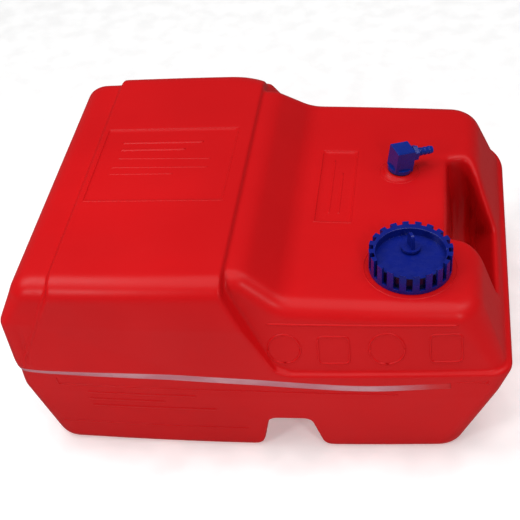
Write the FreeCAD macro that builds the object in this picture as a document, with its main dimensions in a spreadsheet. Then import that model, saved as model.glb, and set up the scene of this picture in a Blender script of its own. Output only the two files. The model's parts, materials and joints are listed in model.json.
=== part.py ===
"""Portable outboard fuel tank, in millimetres.

A blow-moulded polyethylene tank with a tall hump at its left end and a lower deck at its right,
where the filler cap, the fuel pickup elbow and the moulded carrying handle are.
+X runs along the tank towards the handle, -Y is the front, +Z is up.
The origin is the middle of the tank's box, at the height of the surface that it stands on.
"""

import FreeCAD, Part
import math
import os
import Sketcher
from FreeCAD import Rotation, Vector

doc = FreeCAD.newDocument("outboard_fuel_tank")
sheet = doc.addObject("Spreadsheet::Sheet", "sizes")

DRIVING_SIZES = [
    ("tank_length", 500),  # over the parting line, end to end
    ("tank_width", 400),  # over the parting line, at its fullest
    ("parting_height", 117),  # the moulding's parting line above the ground
    ("hump_height", 229),
    ("wall", 4.5),
    ("bow_radius", 3900),  # how little the front and back walls curve in plan
    # the lower half stands nearly upright down to the knee, then tapers to the base
    ("base_left", -236),
    ("base_right", 207),
    ("base_width", 379),
    ("base_corner", 30),
    ("base_rounding", 9),
    ("knee_height", 88),
    ("knee_right", 239),
    ("knee_width", 397),
    ("parting_corner", 20),
    ("parting_far_corner", 60),  # the back right corner, which is rounder than the other three
    # the hump: its walls stand nearly upright up to the shoulder, then draw in to the top
    ("shoulder_height", 181),
    ("shoulder_width", 398),
    ("shoulder_corner", 15),
    ("hump_left", -243),  # where its top would end if it had no rounding
    ("hump_reach", 206),  # where the deck would end at this height, on the right
    ("hump_front", 193.5),  # how far its front and its back are from the middle, at the top
    ("hump_back", 189.5),
    ("hump_corner", 24),
    ("hump_far_corner", 80),
    ("hump_rounding", 24),
    # the raised band over the hump
    ("band_rise", 4.5),
    ("band_left", -192),
    ("band_right", -31),
    ("band_left_foot", -241),
    ("band_right_foot", 22),
    ("band_knee_height", 214),
    ("band_left_knee", -193),
    ("band_right_knee", -21),
    ("lip_height", 121.5),
    ("lip_start", 36),
    ("lip_turn", 6),  # how far above the lip the band's edge starts to bend out into it
    # the deck and the slope that leads down to it
    ("deck_height", 190),  # under the pickup elbow, near enough
    ("deck_datum", 130),  # where deck_height is measured
    ("deck_fall", 0.05),  # the deck drops this much per millimetre to the right
    ("crest", -5),
    ("foot", 34),
    ("crest_radius", 28),
    ("foot_radius", 34),
    ("deck_front_lean", 0.23),  # how far the deck block's front draws in per millimetre of height
    ("deck_back_lean", 0.4),
    ("deck_rounding", 20),
    ("deck_corner", 44),
    ("deck_far_corner", 19),
    # the channel for a hold-down strap, across the underside
    ("channel_middle", 29),
    ("channel_top_width", 42),
    ("channel_foot_width", 66),
    ("channel_height", 51),
    ("channel_top_round", 9),
    ("channel_foot_round", 18),
    # the hand hole behind the carrying bar
    ("hand_waist_height", 88),
    ("hand_left", 186),
    ("hand_waist_left", 192),
    ("hand_waist_right", 217),
    ("hand_right", 238),
    ("hand_front", -66),
    ("hand_back", 62),
    ("hand_bulge", 4),
    ("scoop_above", 10),  # the scoop is drawn up to this far above the deck
    ("scoop_step", 19),
    ("scoop_reach", 24),  # and this far past the bar, so that it runs out over it
    ("scoop_front_sweep", 56),
    ("scoop_back_sweep", 122),
    ("waist_step", 14),
    ("waist_sweep", 12),
    ("foot_flare", 42),
    ("foot_sweep", 18),
    # shallow panels sunk in the hump and in the deck
    ("panel_depth", 1.6),
    ("panel_left", -185),
    ("panel_right", -39),
    ("panel_front", -57),
    ("panel_back", 69),
    ("small_panel_left", 53),
    ("small_panel_right", 89),
    ("small_panel_front", -50),
    ("small_panel_back", 71),
    # the see-through level strip, which sags along the parting line
    ("strip_top", 121),
    ("strip_width", 8),
    ("strip_bend", -60),  # where it starts to fall to the right
    ("strip_sag", 15),
    ("strip_low", 110),  # where it is lowest
    ("strip_right", 192),
    ("strip_lift", 4),
    ("strip_bend_radius", 1400),
    ("strip_sag_radius", 450),
    ("strip_wrap", 150),  # it starts this far in front of the middle, round the left end
    # the filler
    ("cap_across", 152),
    ("cap_along", -115),
    ("cap_radius", 40.5),
    ("cap_height", 24),
    ("cap_clearance", 0.6),
    ("cap_slots", 20),
    ("cap_slot_width", 6),
    ("cap_slot_depth", 4.4),
    ("cap_slot_foot", 4.6),  # where each slot ends, over the deck
    ("cap_dish_radius", 34),
    ("cap_dish_offset", 5),
    ("cap_dish_floor", 16),
    ("cap_ceiling", 13),
    ("neck_radius", 30),
    ("neck_bore", 26),
    ("neck_height", 10.4),
    ("neck_root", 7.5),  # how far the neck's wall runs down past the deck's outer face
    ("thread_pitch", 5),
    ("thread_depth", 1.6),
    ("thread_clearance", 0.5),
    ("thread_root", 0.4),  # how deep a thread's foot is sunk in the wall that carries it
    ("thread_start", 1.6),
    ("neck_thread_turns", 1.2),
    ("cap_thread_turns", 0.8),
    ("gasket_thickness", 2.4),
    ("touching_gap", 0.1),  # between a seal and the face that it would be squeezed against
    # the vent screw in the cap
    ("vent_set_back", 7.5),  # how far it stands behind the middle of the cap
    ("vent_stem", 3),
    ("vent_clearance", 0.08),
    ("vent_head_radius", 9.5),
    ("vent_head_thickness", 2.4),
    ("vent_blade_height", 15),
    ("vent_blade_width", 13),
    ("vent_blade_thickness", 3.2),
    ("vent_blade_round", 3),
    ("vent_blade_turn", 115),  # degrees from +X, as the screw is left when it is shut
    ("vent_seal_cord", 1.8),
    ("vent_seal_radius", 5),
    ("vent_tail", 5),
    ("retainer_radius", 5),
    ("retainer_thickness", 1),
    ("retainer_groove", 0.6),  # how far up from the stem's end the clip sits
    ("baffle_radius", 8.5),
    ("baffle_wall", 1.2),
    ("baffle_length", 8.5),
    # the pickup elbow on the deck
    ("elbow_across", 136),
    ("elbow_along", 38),
    ("elbow_tilt", 10),  # degrees that the fitting leans to the right
    ("boss_radius", 17),
    ("boss_rise", 2.6),
    ("insert_radius", 12.5),
    ("insert_bore", 9.05),
    ("insert_depth", 14),
    ("boss_skirt", 2),  # how much wider than the insert the boss still is at its foot
    ("elbow_base_radius", 13),
    ("elbow_base_height", 4),
    ("elbow_block", 20.5),
    ("elbow_height", 29),
    ("elbow_bevel", 1.2),
    ("elbow_turn", 28),  # degrees from +X towards the back, the way that the hose leaves
    ("elbow_bore", 3.2),
    ("spigot_radius", 9),
    ("spigot_depth", 16),
    ("spigot_tail_radius", 4.4),
    ("spigot_tail", 16),
    ("outlet_height", 19),
    ("seal_thickness", 1.5),
    ("seal_set_back", 0.5),  # a flat seal's rim lies this far inside the rim above it
    ("barb_hex", 15),
    ("barb_hex_length", 5),
    ("barb_collar_radius", 5.6),
    ("barb_collar_length", 2),
    ("barb_lip", 0.4),
    ("barb_radius", 4.6),
    ("barb_root", 3.9),
    ("barb_length", 19),
    ("barb_thread_radius", 5),
    ("barb_thread_length", 6),
    ("barb_bore", 2.6),
    # the dip tube and its strainer
    ("tube_radius", 6),
    ("tube_bottom", 158),  # below the boss, along the fitting's axis
    ("cage_radius", 10),
    ("cage_length", 24),
    ("cage_grip", 8),  # how far the cage reaches up over the tube's end
    ("cage_shoulder", 2.5),
    ("cage_wall", 1.6),
    ("cage_windows", 6),
    ("cage_window_width", 6),
    ("mesh_thickness", 0.3),
]


def fill_sheet():
    for row, (alias, number) in enumerate(DRIVING_SIZES, start=1):
        sheet.set(f"A{row}", alias.replace("_", " "))
        sheet.set(f"B{row}", str(number))
        sheet.setAlias(f"B{row}", alias)
    doc.recompute()


def bound(expression):
    """The expression with each driving size written as FreeCAD's expressions refer to it."""
    words = [alias for alias, _ in DRIVING_SIZES]
    out = ""
    word = ""
    for letter in str(expression) + " ":
        if letter.isalnum() or letter in "_.":
            word += letter
            continue
        out += f"sizes.{word}" if word in words else word
        out += letter
        word = ""
    return out.strip()


def size(expression):
    return float(sheet.evalExpression(bound(expression)))


def origin_plane(body, role):
    return next(item for item in body.Origin.OriginFeatures if item.Role == role)


def new_body(label):
    body = doc.addObject("PartDesign::Body", label)
    body.Label = label
    return body


def new_sketch(body, name, role, offset="0"):
    sketch = body.newObject("Sketcher::SketchObject", name)
    sketch.AttachmentSupport = [(origin_plane(body, role), "")]
    sketch.MapMode = "FlatFace"
    sketch.setExpression(".AttachmentOffset.Base.z", bound(offset))
    return sketch


def bind(sketch, kind, where, expression):
    """Adds one dimension to the sketch and binds it to the sheet."""
    number = sketch.addConstraint(Sketcher.Constraint(kind, *where, size(expression)))
    sketch.setExpression(f"Constraints[{number}]", bound(expression))


def outline(body, name, role, corners, offset="0"):
    """A closed outline through corners (x, y) or (x, y, radius), each bound to the sheet."""
    sketch = new_sketch(body, name, role, offset)
    count = len(corners)
    points = [Vector(size(corner[0]), size(corner[1]), 0) for corner in corners]
    starts = []
    ends = []
    bends = {}
    for i, corner in enumerate(corners):
        here = points[i]
        if len(corner) == 2:
            ends.append(here)
            starts.append(here)
            continue
        back = (points[i - 1] - here).normalize()
        ahead = (points[(i + 1) % count] - here).normalize()
        radius = size(corner[2])
        half = math.acos(back.dot(ahead)) / 2
        reach = radius / math.tan(half)
        middle = here + (back + ahead).normalize() * (radius / math.sin(half))
        ends.append(here + back * reach)
        starts.append(here + ahead * reach)
        leftward = back.cross(ahead).z < 0  # the outline turns left here, so the arc runs forward
        first, last = (ends[i], starts[i]) if leftward else (starts[i], ends[i])
        angles = [math.atan2(end.y - middle.y, end.x - middle.x) for end in (first, last)]
        if angles[1] < angles[0]:
            angles[1] += 2 * math.pi
        arc = Part.ArcOfCircle(Part.Circle(middle, Vector(0, 0, 1), radius), *angles)
        bends[i] = (arc, (1, 2) if leftward else (2, 1))
    sides = []
    for i in range(count):
        line = Part.LineSegment(starts[i], ends[(i + 1) % count])
        sides.append(sketch.addGeometry(line, False))
    for i, corner in enumerate(corners):
        before = sides[i - 1]
        after = sides[i]
        if i not in bends:
            sketch.addConstraint(Sketcher.Constraint("Coincident", before, 2, after, 1))
            bind(sketch, "DistanceX", (after, 1), corner[0])
            bind(sketch, "DistanceY", (after, 1), corner[1])
            continue
        arc, (first, last) = bends[i]
        bend = sketch.addGeometry(arc, False)
        sketch.addConstraint(Sketcher.Constraint("Tangent", before, 2, bend, first))
        sketch.addConstraint(Sketcher.Constraint("Tangent", bend, last, after, 1))
        bind(sketch, "Radius", (bend,), corner[2])
        vertex = sketch.addGeometry(Part.Point(points[i]), True)
        sketch.addConstraint(Sketcher.Constraint("PointOnObject", vertex, 1, before))
        sketch.addConstraint(Sketcher.Constraint("PointOnObject", vertex, 1, after))
        bind(sketch, "DistanceX", (vertex, 1), corner[0])
        bind(sketch, "DistanceY", (vertex, 1), corner[1])
    return sketch


def circle(sketch, across, along, radius):
    middle = Vector(size(across), size(along), 0)
    number = sketch.addGeometry(Part.Circle(middle, Vector(0, 0, 1), size(radius)), False)
    bind(sketch, "Radius", (number,), radius)
    bind(sketch, "DistanceX", (number, 3), across)
    bind(sketch, "DistanceY", (number, 3), along)


def plan_section(body, name, height, left, right, front, back, corner, far_corner=None):
    """A level section of the tank: straight ends, gently bowed sides and round corners.

    Front and back are how far those sides are from the middle. The far corner is the one at the
    back right, where its radius differs from the others'.
    """
    sketch = new_sketch(body, name, "XY_Plane", height)
    far_corner = far_corner or corner
    middle = f"({left} + {right}) / 2"
    bow = size("bow_radius")
    x0, x1, mid = size(left), size(right), size(middle)
    front_centre = bow - size(front)
    back_centre = size(back) - bow
    up = Vector(0, 0, 1)

    def arc(x, y, radius, start, end):
        circle = Part.Circle(Vector(x, y, 0), up, radius)
        return Part.ArcOfCircle(circle, start, end)

    def corner_fit(radius):
        """How far a corner's centre is from the bow's, and the angle where it runs into it."""
        across = x1 - mid - radius
        lift = math.sqrt((bow - radius) ** 2 - across**2)
        return lift, math.atan2(lift, across)

    near, far = size(corner), size(far_corner)
    (near_lift, lean0), (far_lift, lean1) = corner_fit(near), corner_fit(far)
    y0 = front_centre - near_lift
    y1 = back_centre + near_lift
    y2 = back_centre + far_lift
    edges = [
        Part.LineSegment(Vector(x1, y0, 0), Vector(x1, y2, 0)),
        arc(x1 - far, y2, far, 0, lean1),
        arc(mid, back_centre, bow, lean1, math.pi - lean0),
        arc(x0 + near, y1, near, math.pi - lean0, math.pi),
        Part.LineSegment(Vector(x0, y1, 0), Vector(x0, y0, 0)),
        arc(x0 + near, y0, near, math.pi, math.pi + lean0),
        arc(mid, front_centre, bow, math.pi + lean0, 2 * math.pi - lean0),
        arc(x1 - near, y0, near, -lean0, 0),
    ]
    for edge in edges:
        sketch.addGeometry(edge, False)
    for i in range(len(edges)):
        sketch.addConstraint(Sketcher.Constraint("Tangent", i, 2, (i + 1) % len(edges), 1))
    for line, where in ((0, right), (4, left)):
        sketch.addConstraint(Sketcher.Constraint("Vertical", line))
        bind(sketch, "DistanceX", (line, 1), where)
    for bend, radius in ((1, far_corner), (3, corner), (5, corner), (7, corner)):
        bind(sketch, "Radius", (bend,), radius)
    for bend, centre in ((2, f"{back} - bow_radius"), (6, f"bow_radius - ({front})")):
        bind(sketch, "Radius", (bend,), "bow_radius")
        bind(sketch, "DistanceX", (bend, 3), middle)
        bind(sketch, "DistanceY", (bend, 3), centre)
    return sketch


def loft(body, name, sections, ruled=True):
    feature = body.newObject("PartDesign::AdditiveLoft", name)
    feature.Profile = sections[0]
    feature.Sections = [(section, [""]) for section in sections[1:]]
    feature.Ruled = ruled
    doc.recompute()
    return feature


def pad(body, name, sketch, length, midplane=False, reverse=False):
    feature = body.newObject("PartDesign::Pad", name)
    feature.Profile = sketch
    feature.setExpression("Length", bound(length))
    feature.Midplane = midplane
    feature.Reversed = reverse
    doc.recompute()
    return feature


def pocket(body, name, sketch, length=None, midplane=False, reverse=False):
    """A cut of the given length, or right through the body if none is given."""
    before = body.Shape.Volume
    feature = body.newObject("PartDesign::Pocket", name)
    feature.Profile = sketch
    feature.Midplane = midplane
    feature.Reversed = reverse
    if length is None:
        feature.Type = "ThroughAll"
    else:
        feature.setExpression("Length", bound(length))
    doc.recompute()
    if not body.Shape.Volume < before:
        raise RuntimeError(f"{name} cuts nothing")
    return feature


def revolution(body, name, sketch, kind="Revolution"):
    feature = body.newObject(f"PartDesign::{kind}", name)
    feature.Profile = sketch
    feature.ReferenceAxis = (sketch, ["V_Axis"])
    feature.Angle = 360
    doc.recompute()
    return feature


def fillet(body, name, radius, wanted, kind="Fillet"):
    """Rounds (or, as a Chamfer, bevels) the edges of the body's last feature that wanted() picks."""
    base = body.Tip
    names = [f"Edge{i}" for i, edge in enumerate(base.Shape.Edges, start=1) if wanted(edge)]
    feature = body.newObject(f"PartDesign::{kind}", name)
    feature.Base = (base, names)
    feature.setExpression("Radius" if kind == "Fillet" else "Size", bound(radius))
    doc.recompute()
    return feature


def around(body, name, feature, count):
    """Repeats a feature evenly round the body's Z axis."""
    pattern = body.newObject("PartDesign::PolarPattern", name)
    pattern.Originals = [feature]
    pattern.Axis = (origin_plane(body, "Z_Axis"), [""])
    pattern.Angle = 360
    pattern.setExpression("Occurrences", bound(count))
    body.Tip = pattern
    doc.recompute()
    return pattern


def turned(label, corners):
    """A body made by one revolution round its own Z axis; corners are (radius, height)."""
    body = new_body(label)
    profile = outline(body, f"{label}_profile", "XZ_Plane", corners)
    revolution(body, f"{label}_turning", profile)
    return body


def level(edge, height, tolerance=0.01):
    """True if the whole edge lies at this height."""
    box = edge.BoundBox
    return abs(box.ZMin - height) < tolerance and abs(box.ZMax - height) < tolerance


def boolean(kind, label, base, *tools):
    """Part::Cut or Part::Common of two, or Part::MultiFuse of several, as an object of its own."""
    result = doc.addObject(f"Part::{kind}", label)
    result.Label = label
    if kind == "MultiFuse":
        result.Shapes = [base, *tools]
    else:
        result.Base = base
        result.Tool = tools[0]
    doc.recompute()
    return result


# ---------------------------------------------------------------- the tank's form

FAR = "400"  # beyond every side of the tank
PARTING_CORNERS = ["parting_corner", "parting_far_corner"]
HUMP_SIDES = ["hump_front", "hump_back"]
BASE_ANGLES = (0, 45, 90)  # degrees round the base's rounding, where it is drawn
CROWN_ANGLES = (16, 34, 52, 71, 90)  # the same for the crown's


def walls_and_crown(body, name, levels, crown, rounding):
    """Ruled walls through level sections, closed above by a smoothly rounded crown.

    Each level and the crown is what plan_section takes, and the crown is what the walls would
    reach if they ran on to full height with no rounding.
    """
    walls = [plan_section(body, f"{name}_level{i}", *at) for i, at in enumerate(levels)]
    height, left, right, front, back, *corners = crown
    rings = []
    for i, angle in enumerate(CROWN_ANGLES):
        inward = f"({rounding}) * (1 - cos({angle} deg))"
        down = f"({rounding}) * (1 - sin({angle} deg))"
        rings.append(plan_section(
            body, f"{name}_crown{i}", f"{height} - {down}", f"{left} + {inward}",
            f"{right} - {inward}", f"{front} - {inward}", f"{back} - {inward}",
            *(f"{corner} - {inward} / 2" for corner in corners)))
    loft(body, f"{name}_walls", [*walls, rings[0]])
    loft(body, f"{name}_crown", rings, ruled=False)


def inset_section(height, left, right, sides, corners, inset):
    """The section drawn in by the inset.

    Sides is the front's distance from the middle and the back's, or one for both. Corners is one
    radius, or that and the far corner's.
    """
    return (height, f"{left} + ({inset})", f"{right} - ({inset})", f"{sides[0]} - ({inset})",
            f"{sides[-1]} - ({inset})", *(f"{corner} - ({inset})" for corner in corners))


def lower_half_and_band(name, inset):
    """The lower half, the band over the hump and the lip over the parting line."""
    body = new_body(f"{name}_band")
    base = ("base_left", "base_right", ["base_width / 2"], ["base_corner"])
    levels = []
    for angle in BASE_ANGLES:
        inward = f"{inset} + (base_rounding - {inset}) * (1 - sin({angle} deg))"
        height = f"{inset} + (base_rounding - {inset}) * (1 - cos({angle} deg))"
        levels.append(inset_section(height, *base, inward))
    levels.append(inset_section("knee_height", "-tank_length / 2", "knee_right",
                                ["knee_width / 2"], PARTING_CORNERS, inset))
    levels.append(inset_section("parting_height", "-tank_length / 2", "tank_length / 2",
                                ["tank_width / 2"], PARTING_CORNERS, inset))
    levels.append(inset_section("shoulder_height", "-tank_length / 2",
                                "(tank_length / 2 + hump_reach) / 2", ["shoulder_width / 2"],
                                ["shoulder_corner", "parting_far_corner"], inset))
    crown = inset_section(f"hump_height - {inset}", "hump_left", "band_right_foot",
                          HUMP_SIDES, ["hump_corner", "hump_far_corner"], inset)
    walls_and_crown(body, f"{name}_form", levels, crown, f"hump_rounding - {inset}")
    left = outline(body, f"{name}_left_of_band", "XZ_Plane", [
        (f"-{FAR}", f"lip_height - {inset}"),
        (f"band_left_foot + {inset}", f"lip_height - {inset}"),
        (f"band_left_knee + {inset}", "band_knee_height"),
        (f"band_left + {inset}", FAR),
        (f"-{FAR}", FAR),
    ])
    pocket(body, f"{name}_left_shoulder", left, midplane=True)
    right = outline(body, f"{name}_right_of_band", "XZ_Plane", [
        (FAR, FAR),
        (f"band_right - {inset}", FAR),
        (f"band_right_knee - {inset}", "band_knee_height"),
        (f"band_right_foot - {inset}", f"lip_height - {inset} + lip_turn"),
        (f"lip_start - {inset}", f"lip_height - {inset}"),
        (FAR, f"lip_height - {inset}"),
    ])
    pocket(body, f"{name}_right_shoulder", right, midplane=True)
    return body


def left_shoulder(name, inset):
    """The hump's form outside the band, which is flush at the parting line and sunk above it."""
    body = new_body(f"{name}_shoulder")
    drop = f"({inset} + band_rise)"
    levels = [inset_section("parting_height", "-tank_length / 2", "band_right_foot - band_rise",
                            ["tank_width / 2"], ["parting_corner"], inset),
              inset_section("shoulder_height", "-tank_length / 2 - band_rise", "band_right",
                            ["shoulder_width / 2"], ["shoulder_corner"], drop)]
    crown = inset_section(f"hump_height - {drop}", "hump_left", "band_right",
                          HUMP_SIDES, ["hump_corner"], drop)
    walls_and_crown(body, f"{name}_shoulder", levels, crown, f"hump_rounding - {inset}")
    return body


def deck_block(name, inset):
    """The deck, the slope up to the hump's right shoulder, and the front that leans back."""
    body = new_body(f"{name}_deck")
    drop = f"({inset} + band_rise)"
    top = f"hump_height - {drop}"
    rise = "(hump_height - band_rise - lip_height)"
    foot = inset_section("parting_height", "-hump_reach", "tank_length / 2",
                         ["tank_width / 2"], PARTING_CORNERS, drop)
    head = inset_section(top, "-hump_reach + hump_corner", "hump_reach",
                         [f"tank_width / 2 - deck_front_lean * {rise}",
                          f"tank_width / 2 - deck_back_lean * {rise}"],
                         ["deck_corner", "deck_far_corner"], drop)
    sections = [plan_section(body, f"{name}_deck_{word}", *at)
                for word, at in (("foot", foot), ("head", head))]
    loft(body, f"{name}_deck_walls", sections)
    deck = f"deck_height - {inset}"
    above = outline(body, f"{name}_above_deck", "XZ_Plane", [
        ("band_right", FAR),
        ("band_right", top),
        (f"crest - {inset} / 2", top, "crest_radius"),
        (f"foot - {inset} / 2", f"{deck} + deck_fall * (deck_datum - foot)", "foot_radius"),
        (FAR, f"{deck} - deck_fall * ({FAR} - deck_datum)"),
        (FAR, FAR),
    ])
    pocket(body, f"{name}_deck_cut", above, midplane=True)
    lowest = size(f"{deck} - deck_fall * (tank_length / 2 - deck_datum)")
    fillet(body, f"{name}_deck_rounding", f"deck_rounding - {inset}",
           lambda edge: edge.BoundBox.ZMin > lowest - 1 and edge.BoundBox.XLength > 1
           and edge.BoundBox.XMax > size("band_left / 2"))
    return body


def tank_form(name, inset):
    """The whole outer form, or with an inset the form of the space inside."""
    bodies = [lower_half_and_band(name, inset), left_shoulder(name, inset), deck_block(name, inset)]
    return boolean("MultiFuse", f"{name}_form", *bodies)


def strap_channel(name, inset):
    """The channel across the underside, as a solid to cut away."""
    body = new_body(name)
    foot = f"(channel_foot_width / 2 + {inset})"
    top = f"(channel_top_width / 2 + {inset})"
    side = f"({foot} + 2 * channel_foot_round)"
    profile = outline(body, f"{name}_profile", "XZ_Plane", [
        (f"channel_middle - {side}", "-channel_foot_round"),
        (f"channel_middle - {side}", "0"),
        (f"channel_middle - {foot}", "0", "channel_foot_round"),
        (f"channel_middle - {top}", f"channel_height + {inset}", "channel_top_round"),
        (f"channel_middle + {top}", f"channel_height + {inset}", "channel_top_round"),
        (f"channel_middle + {foot}", "0", "channel_foot_round"),
        (f"channel_middle + {side}", "0"),
        (f"channel_middle + {side}", "-channel_foot_round"),
    ])
    pad(body, f"{name}_length", profile, f"2 * {FAR}", midplane=True)
    return body


def hand_hole(name, grown):
    """The hole behind the carrying bar, as a solid to cut away: a scoop, a waist and a flare.

    Each level is an outline of six corners. Its front and back sides bulge by hand_bulge, then
    sweep forwards to the right; grown makes it that much larger all round.
    """
    body = new_body(name)
    rings = []
    for word, height, left, bend, right, front_sweep, back_sweep in (
        ("top", "deck_height + scoop_above", "hand_left", "hand_left + scoop_step",
         "hand_right + scoop_reach", "scoop_front_sweep", "scoop_back_sweep"),
        ("waist", "hand_waist_height", "hand_waist_left", "hand_waist_left + waist_step",
         "hand_waist_right", "waist_sweep", "waist_sweep"),
        ("bottom", "-base_rounding", "hand_left", "hand_left + scoop_step",
         "hand_waist_right + foot_flare", "foot_sweep", "waist_sweep"),
    ):
        corners = [
            (f"{left} - {grown}", f"hand_front - {grown}"),
            (bend, f"hand_front - hand_bulge - {grown}"),
            (f"{right} + {grown}", f"hand_front - {front_sweep} - {grown}"),
            (f"{right} + {grown}", f"hand_back - {back_sweep} + {grown}"),
            (bend, f"hand_back + hand_bulge + {grown}"),
            (f"{left} - {grown}", f"hand_back + {grown}"),
        ]
        rings.append(outline(body, f"{name}_{word}", "XY_Plane", corners, height))
    loft(body, f"{name}_scoop", rings)
    return body


def block(label, left, right, front, back, low, high):
    """A plain Part::Box between these sides, as a solid to cut with."""
    box = doc.addObject("Part::Box", label)
    box.Label = label
    for side, start, end in (("Length", left, right), ("Width", front, back), ("Height", low, high)):
        box.setExpression(side, bound(f"({end}) - ({start})"))
    for way, start in (("x", left), ("y", front), ("z", low)):
        box.setExpression(f".Placement.Base.{way}", bound(start))
    doc.recompute()
    return box


def deck_level(across):
    return f"(deck_height - deck_fall * ({across} - deck_datum))"


def deck_frame(across, along, tilt, turn=0.0):
    """A frame on the deck: its Z leans to the right by tilt degrees, then it turns about that Z."""
    base = Vector(size(across), size(along), size(deck_level(across)))
    lean = Rotation(Vector(0, 1, 0), tilt)
    return FreeCAD.Placement(base, lean.multiply(Rotation(Vector(0, 0, 1), turn)))


def helix(body, name, root, tip, width, start, turns):
    """One thread ridge on the body: a trapezium from root to tip radius, wound up its Z axis."""
    inward = 1 if size(tip) > size(root) else -1  # towards the wall that carries the ridge
    foot = f"{root} - {inward} * thread_root"
    sketch = outline(body, f"{name}_section", "XZ_Plane", [
        (foot, start),
        (tip, f"{start} + {width} / 4"),
        (tip, f"{start} + {width} * 3 / 4"),
        (foot, f"{start} + {width}"),
    ])
    feature = body.newObject("PartDesign::AdditiveHelix", name)
    feature.Profile = sketch
    feature.ReferenceAxis = (sketch, ["V_Axis"])
    feature.Mode = "pitch-turns-angle"
    feature.setExpression("Pitch", bound("thread_pitch"))
    feature.setExpression("Turns", bound(turns))
    doc.recompute()
    return feature


# ---------------------------------------------------------------- the tank's own pieces


def filler_neck():
    body = turned("filler_neck", [
        ("neck_bore", "-neck_root"),
        ("neck_radius", "-neck_root"),
        ("neck_radius", "neck_height"),
        ("neck_bore", "neck_height"),
    ])
    helix(body, "neck_thread", "neck_radius", "neck_radius + thread_depth", "thread_pitch / 2",
          "thread_start", "neck_thread_turns")
    body.Placement = cap_frame
    return body


def pickup_boss():
    body = turned("pickup_boss", [
        ("0", "-insert_depth - wall / 2"),
        ("insert_radius + boss_skirt", "-insert_depth - wall / 2"),
        ("boss_radius", "-wall"),
        ("boss_radius", "0"),
        ("0", "0"),
    ])
    body.Placement = elbow_frame
    return body


def bore(label, radius, low, high, frame):
    """A cylinder to cut with, along the Z axis of a frame on the deck."""
    body = turned(label, [("0", low), (radius, low), (radius, high), ("0", high)])
    body.Placement = frame
    return body


def strip_slab():
    """A thick slab in front of the tank, as wide as the level strip and bent as it is."""
    body = new_body("strip_slab")
    course = [
        (f"-{FAR}", "strip_top"),
        ("strip_bend", "strip_top", "strip_bend_radius"),
        ("strip_low", "strip_top - strip_sag", "strip_sag_radius"),
        ("strip_right", "strip_top - strip_sag + strip_lift"),
    ]
    lower = [(across, f"{height} - strip_width", *bend) for across, height, *bend in course]
    profile = outline(body, "strip_course", "XZ_Plane", course + lower[::-1], "strip_wrap")
    pad(body, "strip_depth", profile, FAR)
    return body


def make_tank():
    """The hollow shell with its neck and boss, and the level strip let into its front wall."""
    outer = tank_form("tank", "0")
    cavity = tank_form("cavity", "wall")
    panels = [
        block("hump_panel", "panel_left", "panel_right", "panel_front", "panel_back",
              "hump_height - panel_depth", "hump_height + wall"),
        block("deck_panel", "small_panel_left", "small_panel_right", "small_panel_front",
              "small_panel_back", f"{deck_level('small_panel_left')} - panel_depth", "hump_height"),
    ]
    tilt = Rotation(Vector(0, 1, 0), deck_tilt)
    panels[1].Placement.Rotation = tilt
    outside = boolean("Cut", "outside", outer,
                      boolean("MultiFuse", "outer_cuts", strap_channel("channel", "0"),
                              hand_hole("hand_hole", "0"), *panels))
    pinched = block("pinched_bar", "hand_waist_left", FAR, "hand_front - wall", "hand_back + wall",
                    "-wall", FAR)
    inside = boolean("Cut", "inside", cavity,
                     boolean("MultiFuse", "inner_cuts", strap_channel("inner_channel", "wall"),
                             hand_hole("walled_hand_hole", "wall"), pinched))
    hollow = boolean("Cut", "hollow", outside, inside)
    dressed = boolean("MultiFuse", "dressed", hollow, filler_neck(), pickup_boss())
    bores = boolean("MultiFuse", "bores",
                    bore("neck_opening", "neck_bore", "-3 * wall", "neck_height + 1", cap_frame),
                    bore("insert_seat", "insert_radius", "-2 * insert_depth", "1", elbow_frame))
    bored = boolean("Cut", "bored", dressed, bores)
    slab = strip_slab()
    return [boolean("Cut", "tank_shell", bored, slab), boolean("Common", "level_strip", bored, slab)]


# ---------------------------------------------------------------- the filler cap and its vent


def filler_cap():
    body = turned("filler_cap", [
        ("0", "cap_clearance"),
        ("cap_radius", "cap_clearance"),
        ("cap_radius", "cap_height"),
        ("0", "cap_height"),
    ])
    inner = "neck_radius + thread_depth + thread_clearance"
    hollow = outline(body, "cap_hollow_profile", "XZ_Plane", [
        ("0", "-1"),
        (inner, "-1"),
        (inner, "cap_ceiling"),
        ("0", "cap_ceiling"),
    ])
    revolution(body, "cap_hollow", hollow, "Groove")
    dish = new_sketch(body, "cap_dish_circle", "XY_Plane", "cap_height")
    circle(dish, "0", "-cap_dish_offset", "cap_dish_radius")
    pocket(body, "cap_dish", dish, "cap_height - cap_dish_floor")
    stem = new_sketch(body, "cap_stem_circle", "XY_Plane", "cap_height")
    circle(stem, "0", "vent_set_back", "vent_stem + vent_clearance")
    pocket(body, "cap_stem_hole", stem)
    notch = outline(body, "cap_slot_outline", "XY_Plane", [
        ("cap_radius - cap_slot_depth", "-cap_slot_width / 2"),
        ("cap_radius + 1", "-cap_slot_width / 2"),
        ("cap_radius + 1", "cap_slot_width / 2"),
        ("cap_radius - cap_slot_depth", "cap_slot_width / 2"),
    ], "cap_height")
    slot = pocket(body, "cap_slot", notch, "cap_height - cap_slot_foot")
    around(body, "cap_castellations", slot, "cap_slots")
    helix(body, "cap_thread", inner, f"{inner} - thread_depth", "thread_pitch / 2",
          "thread_start + thread_pitch / 2", "cap_thread_turns")
    body.Placement = cap_frame
    return body


def cap_gasket():
    """The flat ring between the neck's rim and the cap's ceiling, inside the cap's thread."""
    low = "neck_height + touching_gap"
    high = f"{low} + gasket_thickness"
    body = turned("cap_gasket", [
        ("neck_bore", low),
        ("neck_radius", low),
        ("neck_radius", high),
        ("neck_bore", high),
    ])
    body.Placement = cap_frame
    return body


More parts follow.
